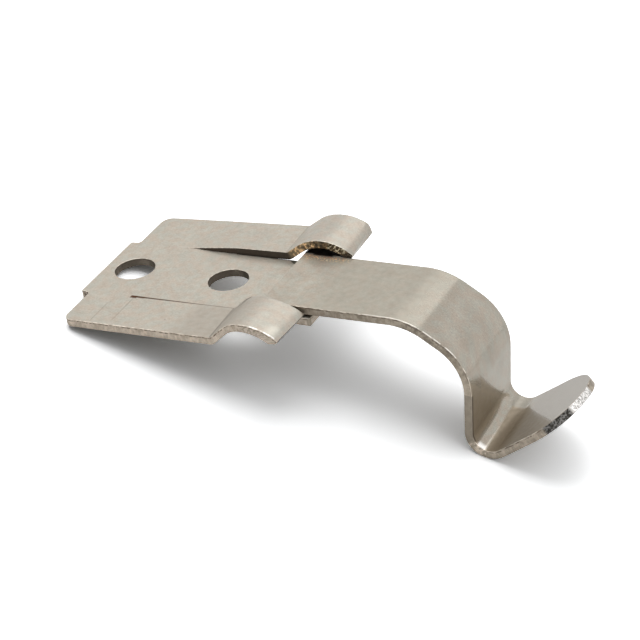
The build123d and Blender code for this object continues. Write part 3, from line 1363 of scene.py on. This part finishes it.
@dataclass(frozen=True)
class SatinNickel:
    """Nickel on sheared sheet: satin where it lay flat, polished where it was drawn, rough at its rims."""

    name: str
    colour: Colour
    flat_polish: float
    bent_polish: float
    polish_run: Range
    # Real discoloured patches, and painted shade, highlights and reflections.
    stains_and_painted_light: tuple[StainOrPaintedLight, ...]
    lines: tuple[ScoreLine, ...] = ()
    rim: Rim = Rim()
    relief: Relief = Relief()
    rim_polish: float = 0.4
    sharp_roughness: float = 0.17
    broad_roughness: float = 0.6
    cloud: Mottle = Mottle(2.6, 3.0, 0.035)
    smear: Mottle = Mottle(0.8, 4.0, 0.02, stretch=(1.5, 1.0, 1.0))
    grain: Mottle = Mottle(0.24, 3.0, 0.11, (0.25, 0.75))
    pits: Mottle = Mottle(0.45, 2.0, ramp=(0.72, 0.78))
    pit_shade: float = 0.75
    tint: Mottle = Mottle(1.3, 2.0, ramp=(0.35, 0.65))
    warm: Colour = (1.03, 0.99, 0.965)
    cool: Colour = (0.97, 1.01, 1.015)

    def read_blank(self, tree: Tree) -> SheetNodes:
        """Read what the mesh keeps of its flat blank.

        Args:
            tree: The material's nodes.

        Returns:
            The nodes, with the place on the blank and how far a point is a sheared or a rolled edge.
        """
        flat = tree.add("ShaderNodeAttribute", attribute_name="flat").outputs["Vector"]
        part = tree.add("ShaderNodeSeparateXYZ", {0: flat}).outputs
        share = tree.add("ShaderNodeAttribute", attribute_name="rim").outputs["Fac"]
        sheared = tree.ramp(share, *self.rim.sheared_share)
        deep, shallow = self.rim.burr_depth
        near_top = tree.ramp(part[2], deep * MM, shallow * MM)
        rolled = tree.product(tree.ramp(share, *self.rim.burr_share), near_top)
        return SheetNodes(tree, flat, part[0], part[1], part[2], sheared, rolled)

    def face_colour(self, sheet: SheetNodes) -> Socket:
        """Colour the plated faces: cloudy, faintly tinted, with grain, rubbed smears and small pits.

        Args:
            sheet: The material's nodes.

        Returns:
            The colour.
        """
        tree = sheet.tree
        light = [sheet.shading(mottle) for mottle in (self.cloud, self.smear, self.grain)]
        light.append(tree.span(sheet.spots(self.pits), 0.0, 1.0, 1.0, self.pit_shade))
        shades = []
        for shift in (self.warm, self.cool):
            shades.append((*(part * change for part, change in zip(self.colour, shift)), 1.0))
        base = tree.blend(sheet.spots(self.tint), *shades)
        values = {0: base, "Scale": tree.product(*light)}
        return tree.add("ShaderNodeVectorMath", values, operation="SCALE").outputs[0]

    def bare_colour(self, sheet: SheetNodes) -> Socket:
        """Colour the sheet as it is without its stains.

        Args:
            sheet: The material's nodes.

        Returns:
            The colour of the faces with their score lines, and of the rims with the painted highlights on
            their burrs.
        """
        tree = sheet.tree
        colour = self.face_colour(sheet)
        for line in self.lines:
            colour = tree.blend(line.share(sheet), colour, (*line.colour, 1.0))
        colour = tree.blend(sheet.sheared, colour, self.rim.colour(sheet))
        # Painted highlight along the rolled burr, broken up.
        burr = tree.product(sheet.rolled, sheet.spots(self.rim.burr_breaks))
        return tree.blend(burr, colour, (*self.rim.burr_highlight, 1.0))

    def bare_polish(self, sheet: SheetNodes) -> Socket:
        """Work out how polished the sheet is without its stains.

        Args:
            sheet: The material's nodes.

        Returns:
            The share of the sharp reflection.
        """
        tree = sheet.tree
        start, stop = (end * MM for end in self.polish_run)
        polish = tree.span(sheet.along, start, stop, self.flat_polish, self.bent_polish, True)
        return tree.product(polish, tree.span(sheet.sheared, 0.0, 1.0, 1.0, self.rim_polish))

    def build(self) -> bpy.types.Material:
        """Build the material's nodes.

        Returns:
            The material.
        """
        material, tree = new_material(self.name)
        sheet = self.read_blank(tree)
        colour = self.bare_colour(sheet)
        polish = self.bare_polish(sheet)
        # Lay each discoloured patch, and each painted shade, highlight and reflection, over the bare colour.
        for stain_or_painted_light in self.stains_and_painted_light:
            share = stain_or_painted_light.share(sheet)
            colour = tree.blend(share, colour, (*stain_or_painted_light.colour, 1.0))
            if stain_or_painted_light.dull > 0:
                polish = tree.product(polish, tree.span(share, 0.0, 1.0, 1.0, 1 - stain_or_painted_light.dull))
        bump = self.relief.bump(sheet)
        uneven = self.relief.unevenness(sheet)
        lobes = []
        for roughness in (self.broad_roughness, self.sharp_roughness):
            values = {"Base Color": colour, "Metallic": 1.0, "Normal": bump}
            values["Roughness"] = tree.product(uneven, roughness)
            lobes.append(tree.add("ShaderNodeBsdfPrincipled", values).outputs[0])
        shader = tree.add("ShaderNodeMixShader", {0: polish, 1: lobes[0], 2: lobes[1]}).outputs[0]
        tree.add("ShaderNodeOutputMaterial", {"Surface": shader})
        return material


@dataclass(frozen=True)
class PlateFinish:
    """The plate's finish, with the marks and lines that its shearing and forming left, and painted shade and
    highlights.
    """

    plate: BasePlate
    nickel: Colour = (0.455, 0.418, 0.362)
    # Colour of the painted shade on the near hook's rise and crease.
    grey: Colour = (0.33, 0.30, 0.26)
    black: Colour = (0.02, 0.017, 0.013)
    brown: Colour = (0.05, 0.038, 0.03)

    def holes(self) -> tuple[StainOrPaintedLight, ...]:
        """Painted shade on the walls of both rivet holes.

        Returns:
            The painted shade, which runs through both.
        """
        side = self.plate.hole_radius + 0.1
        reach = self.plate.hole_spacing / 2 + side
        # Painted shade in the hole walls.
        return (StainOrPaintedLight((-reach, reach), (-side, side), (0.13, 0.11, 0.085), 0.9),)

    def near_slit(self) -> tuple[StainOrPaintedLight, ...]:
        """Painted shade in the gap of the near slit, with rust where it starts.

        Returns:
            The painted shade and the rust, each over the one before.
        """
        start = self.plate.slit_start
        across = (-self.plate.tab_inner - 0.13, -self.plate.strip_half + 0.11)
        rust = (0.09, 0.04, 0.02)
        return (
            # Painted shade in the slit's gap; the two after it are rust.
            StainOrPaintedLight((start, self.plate.near.crease_start), across, (0.09, 0.06, 0.04), 1.0, 0.07, Place.BOTH),
            StainOrPaintedLight((start - 0.05, start + 0.8), (-6.35, -5.85), rust, 0.95, 0.1, Place.BOTH),
            StainOrPaintedLight((start + 0.8, start + 1.9), (-6.2, -5.9), (0.10, 0.05, 0.025), 0.9, 0.1, Place.BOTH),
        )

    def near_hook(self) -> tuple[StainOrPaintedLight, ...]:
        """Painted shade on the grey rise, in the dark crease and at the dark foot, a painted bright blotch,
        painted glints on the burr, and dark marks on the rim of the near hook.

        Returns:
            The painted shade, the painted highlights and the marks, each over the one before.
        """
        crease = self.plate.near.crease_start
        foot = self.plate.near.end
        tab = (-12.5, -6.0)
        faces = Place.FACES
        wall_spots = Speckle(0.3, 0.48, 0.12)
        return (
            # Painted shade: over the rise, in the crease, on the hook's top, at its inner end and at its
            # foot.
            StainOrPaintedLight((crease - 5.0, crease + 5.0), (-13.0, -6.0), (0.38, 0.345, 0.295), 0.75, 1.5, faces),
            StainOrPaintedLight((crease - 0.1, crease + 0.14), tab, (0.14, 0.12, 0.1), 0.75, 0.1, faces),
            StainOrPaintedLight((crease, crease + 0.5), tab, self.grey, 0.7, 0.25, faces),
            StainOrPaintedLight((crease, 20.4), tab, self.grey, 0.8, 0.15, faces, lean=(0.0, 1.04)),
            StainOrPaintedLight((20.35, 20.6), (-7.6, -6.0), (0.07, 0.06, 0.05), 0.9, 0.12, faces, lean=(1.04, 1.04)),
            StainOrPaintedLight((foot - 0.75, foot + 1), (-12.2, -5.9), (0.1, 0.095, 0.075), 0.85, 0.08, Place.BOTH),
            # Painted highlights: a bright blotch on the drop, and glints along the burr; then dark marks on
            # the rim.
            StainOrPaintedLight((18.9, 20.3), (-12.4, -10.6), (0.64, 0.61, 0.53), 0.65, 0.6, faces),
            StainOrPaintedLight((17.0, 20.4), (-13, -12.33), (1.0, 0.99, 0.95), 0.9, 0.08, faces, Speckle(0.6)),
            StainOrPaintedLight((15.6, 19.6), (-13.0, -12.0), (0.12, 0.10, 0.075), 0.6, 0.8, speckle=wall_spots),
        )

    def strip_end(self) -> tuple[StainOrPaintedLight, ...]:
        """Brown near corner with a painted highlight, and a painted dark reflection at the far corner of the
        strip's end.

        Returns:
            The brown, the painted highlight and the painted dark reflection, each over the one before.
        """
        return (
            StainOrPaintedLight((19.9, 20.6), (-6.2, -5.6), (0.34, 0.3, 0.24), 0.9, 0.1),
            # Painted highlight on the near corner.
            StainOrPaintedLight((19.55, 20.05), (-5.95, -5.6), (1.0, 0.95, 0.86), 1.0, 0.1, Place.FACES),
            # Painted dark reflection at the strip's far corner.
            StainOrPaintedLight((18.95, 22.0), (4.9, 5.95), (0.1, 0.1, 0.08), 0.9, 0.12, Place.FACES, lean=(-1.22, -1.22)),
        )

    def far_wall(self) -> tuple[StainOrPaintedLight, ...]:
        """Brown wall of the far slit, and the copper and black wall of the far hook, with painted shade in
        the far crease and along the strip's far edge.

        Returns:
            The marks and the painted shade, each over the one before.
        """
        crease = self.plate.far.crease_start
        end = self.plate.far.end
        start = self.plate.slit_start
        wall = (self.plate.tab_inner - 0.5, self.plate.tab_inner + 0.5)
        copper = Speckle(0.42, 0.48, 0.07)
        black_tops = Speckle(0.5, 0.46, 0.05)
        black_end = Speckle(0.6, 0.36, 0.05)
        glints = Speckle(0.3, 0.52, 0.06)
        return (
            # Painted shade in the far crease.
            StainOrPaintedLight((crease - 0.05, crease + 0.1), (6.0, 12.5), (0.2, 0.18, 0.16), 0.5, 0.12, Place.FACES),
            StainOrPaintedLight((start - 1.0, crease + 0.6), wall, (0.09, 0.07, 0.056), dull=0.8),
            StainOrPaintedLight((crease + 0.3, end), wall, (0.38, 0.30, 0.195)),
            StainOrPaintedLight((crease + 0.6, crease + 6.5), wall, (1.0, 0.72, 0.42), speckle=copper),
            StainOrPaintedLight((crease + 2.2, crease + 6.0), wall, (0.02, 0.016, 0.012), soft=1.0, speckle=black_tops),
            StainOrPaintedLight((crease + 5.2, end), wall, self.black, soft=0.9, speckle=black_end),
            StainOrPaintedLight((crease + 6.5, end), wall, (0.85, 0.80, 0.62), speckle=glints),
            StainOrPaintedLight((crease + 8.6, end), wall, self.brown, 0.85, 0.6),
            # Painted shade in the gap along the strip's far edge.
            StainOrPaintedLight((4.5, 12.6), (5.80, 5.99), (0.09, 0.085, 0.07), 0.85, 0.06, Place.BOTH),
            StainOrPaintedLight((start - 0.3, start + 1.1), (5.85, 6.12), self.nickel, 1.0, 0.05, Place.BOTH),
        )

    def marks(self) -> tuple[StainOrPaintedLight, ...]:
        """Torn corner of the stub, faint rust before the far slit, and one speck.

        Returns:
            The stains.
        """
        torn = Speckle(0.25)
        return (
            StainOrPaintedLight((-10.6, -9.3), (-6.5, -5.5), (0.09, 0.065, 0.055), 0.9, 0.1, speckle=torn),
            StainOrPaintedLight((-4.5, -3.9), (5.6, 6.1), (0.42, 0.27, 0.24), 0.45, 0.25, Place.FACES, Speckle(0.2)),
            StainOrPaintedLight((3.3, 3.5), (-10.1, -9.9), (0.2, 0.19, 0.2), 0.7, 0.1, Place.FACES),
        )

    def build(self) -> bpy.types.Material:
        """Put the plate's finish together.

        Returns:
            The material.
        """
        crease = self.plate.near.crease_start
        stains_and_painted_light = self.holes() + self.near_slit() + self.near_hook()
        return SatinNickel(
            "satin_plate",
            colour=self.nickel,
            flat_polish=0.15,
            bent_polish=0.6,
            polish_run=(crease + 3.5, crease + 7.0),
            stains_and_painted_light=stains_and_painted_light + self.strip_end() + self.far_wall() + self.marks(),
            lines=(ScoreLine(-5.6, (-12.3, -8.0), 0.11, 0.4), ScoreLine(-3.0, (-11.6, -6.6), 0.12, 0.4)),
        ).build()


@dataclass(frozen=True)
class TongueFinish:
    """The tongue's finish, polished past the shoulder and rusty beside the far hook."""

    tongue: SpringTongue
    # Colours of the painted dark reflections on the leg and the lip.
    leg_dark_reflection: Colour = (0.395, 0.34, 0.265)
    lip_dark_reflection: Colour = (0.325, 0.275, 0.21)
    # Colour of the painted shade under the far hook.
    black: Colour = (0.012, 0.01, 0.009)

    def root(self) -> tuple[StainOrPaintedLight, ...]:
        """Rust beside the far hook, painted shade in the gap under it, a painted highlight on the burr and
        the darker middle of the flat.

        Returns:
            The rust, the painted highlight, the darker middle and the painted shade, each over the one
            before.
        """
        half = self.tongue.width / 2
        burr = (-half - 0.1, -half + 0.13)
        faces = Place.FACES
        orange = Speckle(0.24, 0.49)
        cream = Speckle(0.2, 0.54, 0.08)
        return (
            StainOrPaintedLight((0.2, 5.6), (half - 0.8, half - 0.1), (0.85, 0.42, 0.25), 0.9, 0.15, faces, orange),
            StainOrPaintedLight((3.38, 3.58), (4.66, 4.86), (1.0, 0.9, 0.62), 1.0, 0.1, faces),
            StainOrPaintedLight((0.4, 6.6), (half - 1.3, half - 0.3), (0.95, 0.72, 0.42), 0.9, 0.3, faces, cream),
            # Painted highlight along the burr of the near edge.
            StainOrPaintedLight((13.0, 24.5), burr, (1.0, 0.96, 0.9), 0.8, 0.08, faces, Speckle(1.2, 0.36)),
            StainOrPaintedLight((6.0, 19.5), (-7.0, 7.0), (0.36, 0.335, 0.28), 0.6, 2.0, faces),
            # Painted shade in the gap under the far hook, over the tongue and its ear.
            StainOrPaintedLight((1.2, 3.8), (half - 0.2, half + 0.5), self.black, 1.0, 0.2, Place.BOTH),
            StainOrPaintedLight((-1.0, 5.2), (half + 0.12, 8.8), self.black, 1.0, 0.1, Place.BOTH),
        )

    def toe(self) -> tuple[StainOrPaintedLight, ...]:
        """Painted dark reflections on the leg and the lip, painted highlights on the edge and corner beside
        the toe, and painted shade along the near edge, at the toe's far edge and on the lip.

        Returns:
            The painted highlights, reflections and shade, each over the one before.
        """
        half = self.tongue.width / 2
        toe = self.tongue.bends()[2][1]
        faces = Place.FACES
        edge = (-half - 0.1, -half + 0.3)
        tip = self.tongue.tip()
        whole = (-7.0, 7.0)
        return (
            # Painted highlights: a broken line along the near edge and a bright corner beside the toe.
            StainOrPaintedLight((toe + 0.8, toe + 4.6), edge, (1.0, 0.86, 0.72), 0.85, 0.15, Place.BOTH, Speckle(0.35)),
            StainOrPaintedLight((36.4, 37.8), (-half - 0.1, -half + 0.7), (1.0, 0.97, 0.93), 1.0, 0.35, faces),
            # Painted dark reflection on the leg, in two parts, with less polish.
            StainOrPaintedLight((31.9, 35.5), whole, self.leg_dark_reflection, 1.0, 0.4, faces, lean=(0.8, -0.09), dull=0.8),
            StainOrPaintedLight((31.2, 32.6), (-3.2, 4.4), self.leg_dark_reflection, 1.0, 0.3, faces, lean=(1.0, 0.8), dull=0.8),
            # Painted shade at the toe's far edge, and a painted dark reflection on the lip.
            StainOrPaintedLight((37.0, 39.8), (3.4, 7.0), (0.37, 0.345, 0.295), 0.9, 0.4, faces, dull=0.7),
            StainOrPaintedLight((37.7, 43.9), (-7.0, 3.4), self.lip_dark_reflection, 1.0, 0.25, faces, lean=(-0.07, -0.96), dull=0.8),
            # Painted shade along the leg's near edge, and over the middle of the lip.
            StainOrPaintedLight((29.0, 35.8), edge, (0.13, 0.11, 0.085), 0.75, 0.05, Place.BOTH),
            StainOrPaintedLight((41.6, tip + 1), (-half - 1, half + 1), (0.34, 0.31, 0.268), 0.85, 1.2, faces),
        )

    def near_rim(self) -> tuple[StainOrPaintedLight, ...]:
        """Darker and lighter stretches of the near rim, speckled beside the root and the knee.

        Returns:
            The stains, each over the one before.
        """
        half = self.tongue.width / 2
        wall = (-half - 0.2, -half + 0.2)
        return (
            StainOrPaintedLight((2.0, 9.5), wall, (0.22, 0.165, 0.125), 0.6, 1.5, speckle=Speckle(0.5)),
            StainOrPaintedLight((-1.0, 15.0), wall, (0.25, 0.215, 0.17), 0.5, 1.5),
            StainOrPaintedLight((17.5, 24.5), wall, (0.08, 0.065, 0.05), 0.85, 0.8, speckle=Speckle(0.45)),
            StainOrPaintedLight((27.0, 40.0), wall, (0.78, 0.69, 0.56), 0.75, 1.5),
        )

    def lip_rim(self) -> tuple[StainOrPaintedLight, ...]:
        """Painted dark and bright reflections on stretches of the lip's rim, both broken up.

        Returns:
            The painted reflections, each over the one before.
        """
        tip = self.tongue.tip()
        black = ((tip - 4.1, tip - 0.9), (-self.tongue.width / 2 - 0.1, -3.0))
        bright = ((tip - 1.2, tip + 1), (-3.2, 0.4))
        return (
            # Painted dark reflection, broken by light specks.
            StainOrPaintedLight(*black, (0.02, 0.02, 0.018), 0.95),
            StainOrPaintedLight(*black, (0.9, 0.88, 0.85), 0.22, speckle=Speckle(0.25)),
            # Painted bright reflection, broken by dark specks.
            StainOrPaintedLight(*bright, (1.0, 0.98, 0.96)),
            StainOrPaintedLight(*bright, (0.25, 0.24, 0.22), 0.8, speckle=Speckle(0.14, streaks=2.0)),
        )

    def build(self) -> bpy.types.Material:
        """Put the tongue's finish together.

        Returns:
            The material.
        """
        return SatinNickel(
            "satin_tongue",
            colour=(0.415, 0.378, 0.322),
            flat_polish=0.22,
            bent_polish=0.9,
            polish_run=(self.tongue.flat_length - 1.0, self.tongue.flat_length + 3.5),
            stains_and_painted_light=self.root() + self.toe() + self.near_rim() + self.lip_rim(),
            rim=Rim(light=(0.53, 0.47, 0.385), dark=(0.27, 0.23, 0.18)),
            cloud=Mottle(2.6, 3.0, 0.09),
        ).build()


# Stage


@dataclass(frozen=True)
class Softbox:
    """One soft area light that faces the clip.

    Its direction is in degrees, its size and distance are in millimetres, and a glow of 1 is white.
    """

    name: str
    azimuth: float
    elevation: float
    width: float
    height: float
    glow: float
    distance: float = 700.0
    aim: Triple = (20.0, 0.0, -5.0)

    def hang(self) -> None:
        """Hang the light so that it faces the clip."""
        away = direction(self.azimuth, self.elevation)
        light = bpy.data.lights.new(self.name, "AREA")
        light.shape = "RECTANGLE"
        light.size = self.width * MM
        light.size_y = self.height * MM
        light.energy = self.glow * math.pi * light.size * light.size_y
        lamp = place_object(self.name, light)
        lamp.location = (Vector(self.aim) + away * self.distance) * MM
        lamp.rotation_euler = away.to_track_quat("Z", "Y").to_euler()


@dataclass
class Stage:
    """The pale floor that the clip leans on, the soft lights, the white room and the camera."""

    touch_left: Point = (-10.45, 0.0)
    touch_toe: Point = (40.4, -15.083)
    floor_size: float = 1400.0
    floor_middle: float = 25.0
    floor_colour: float = 0.4
    mirrored_colour: float = 1.0
    seen_colour: Colour = (1.70, 1.715, 1.73)
    front_glow: float = 0.13
    back_glow: float = 0.9
    back_way: Triple = (0.3, 0.75, 0.55)
    glow_span: Range = (-0.2, 0.9)
    least_scatter: float = 0.5
    camera_place: Triple = (135.760, -196.653, 129.315)
    view_azimuth: float = -59.1046
    view_elevation: float = 30.0085
    view_roll: float = -9.3998
    focal_pixels: float = 2256.56
    sensor: float = 36.0
    nearest: float = 0.01
    softboxes: tuple[Softbox, ...] = (
        Softbox("back_softbox", 101.0, 54.0, 540.0, 440.0, 0.62),
        Softbox("top_softbox", 120.0, 82.0, 520.0, 420.0, 1.88),
        Softbox("left_softbox", 172.0, 62.0, 340.0, 340.0, 0.8),
        Softbox("right_softbox", -12.0, 22.0, 260.0, 260.0, 0.8),
    )

    def first_bounce(self, tree: Tree, rays: bpy.types.NodeOutputs, *kinds: str) -> Socket:
        """Tell rays of some kinds that have met no matt surface yet.

        Args:
            tree: The nodes of the floor or the world.
            rays: What those nodes know about the ray.
            *kinds: Names of the kinds of ray.

        Returns:
            1 for such a ray, and 0 for any other.
        """
        chosen = rays[kinds[0]]
        for kind in kinds[1:]:
            chosen = tree.math("MAXIMUM", chosen, rays[kind])
        return tree.product(chosen, tree.math("LESS_THAN", rays["Diffuse Depth"], self.least_scatter))

    def floor_finish(self) -> bpy.types.Material:
        """Paint the floor: grey for the light, paler where it is mirrored, and white for the camera.

        Returns:
            The material, which is clear from below.
        """
        material, tree = new_material("pale_floor")
        rays = tree.add("ShaderNodeLightPath").outputs
        mirrored = self.first_bounce(tree, rays, "Is Glossy Ray", "Is Transmission Ray")
        plain = (*[self.floor_colour] * 3, 1.0)
        shade = tree.blend(mirrored, plain, (*[self.mirrored_colour] * 3, 1.0))
        colour = tree.blend(rays["Is Camera Ray"], shade, (*self.seen_colour, 1.0))
        paint = tree.add("ShaderNodeBsdfDiffuse", {"Color": colour}).outputs[0]
        clear = tree.add("ShaderNodeBsdfTransparent").outputs[0]
        behind = tree.add("ShaderNodeNewGeometry").outputs["Backfacing"]
        both = tree.add("ShaderNodeMixShader", {0: behind, 1: paint, 2: clear}).outputs[0]
        tree.add("ShaderNodeOutputMaterial", {"Surface": both})
        return material

    def floor(self) -> None:
        """Lay the floor under the clip's left edge and its toe."""
        run = self.touch_toe[0] - self.touch_left[0]
        fall = self.touch_left[1] - self.touch_toe[1]
        along = Vector((run, 0.0, -fall)).normalized()
        across = Vector((0.0, 1.0, 0.0))
        middle = Vector((self.touch_left[0], 0.0, self.touch_left[1])) + along * self.floor_middle
        half = self.floor_size / 2
        corners = []
        for first, second in ((-1, -1), (1, -1), (1, 1), (-1, 1)):
            corners.append((middle + along * half * first + across * half * second) * MM)
        mesh = bpy.data.meshes.new("floor")
        mesh.from_pydata(corners, [], [(0, 1, 2, 3)])
        mesh.materials.append(self.floor_finish())
        place_object("floor", mesh)

    def world(self) -> None:
        """Show plain white all round, and give what the floor scatters a lower glow, stronger at the back."""
        world = bpy.data.worlds.new("white_room")
        world.use_nodes = True
        world.node_tree.nodes.clear()
        tree = Tree(world.node_tree)
        rays = tree.add("ShaderNodeLightPath").outputs
        seen = self.first_bounce(tree, rays, "Is Camera Ray", "Is Glossy Ray", "Is Transmission Ray")
        way = tree.add("ShaderNodeTexCoord").outputs["Generated"]
        toward = tree.add("ShaderNodeVectorMath", {0: way, 1: self.back_way}, operation="DOT_PRODUCT")
        glows = (self.front_glow, self.back_glow)
        scattered = tree.span(toward.outputs["Value"], *self.glow_span, *glows, True)
        strength = tree.math("ADD", seen, tree.product(scattered, tree.math("SUBTRACT", 1.0, seen)))
        values = {"Color": (1.0, 1.0, 1.0, 1.0), "Strength": strength}
        glow = tree.add("ShaderNodeBackground", values).outputs[0]
        tree.add("ShaderNodeOutputWorld", {"Surface": glow})
        bpy.context.scene.world = world

    def camera(self) -> None:
        """Stand the camera where the photograph was taken from."""
        data = bpy.data.cameras.new("view")
        data.sensor_width = self.sensor
        data.lens = self.focal_pixels * self.sensor / IMAGE_SIZE
        data.clip_start = self.nearest
        back = direction(self.view_azimuth, self.view_elevation)
        level = direction(self.view_azimuth + 90.0, 0.0)
        roll = math.radians(self.view_roll)
        right = level * math.cos(roll) + back.cross(level) * math.sin(roll)
        axes = Matrix((right, back.cross(right), back)).transposed().to_4x4()
        camera = place_object("view", data)
        camera.matrix_world = Matrix.Translation(Vector(self.camera_place) * MM) @ axes
        bpy.context.scene.camera = camera

    def build(self) -> None:
        """Set up the floor, the lights, the world and the camera."""
        self.floor()
        for softbox in self.softboxes:
            softbox.hang()
        self.world()
        self.camera()
        bpy.context.scene.view_settings.view_transform = "Standard"


def main() -> None:
    """Build the clip's two pieces, dress them, and set the stage."""
    logging.basicConfig(level=logging.INFO, format="%(message)s")
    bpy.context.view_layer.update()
    base_plate = BasePlate()
    spring_tongue = SpringTongue()
    plate = base_plate.build(PlateFinish(base_plate).build())
    tongue = spring_tongue.build(TongueFinish(spring_tongue).build())
    for piece, node, slot in (
        (plate, "base_plate", "plate_steel"),
        (tongue, "spring_tongue", "tongue_steel"),
    ):
        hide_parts(node)
        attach(piece, "root")
        LOG.info("%s: %d faces", piece.name, len(piece.data.polygons))
    Stage().build()


if __name__ == "__main__":
    main()
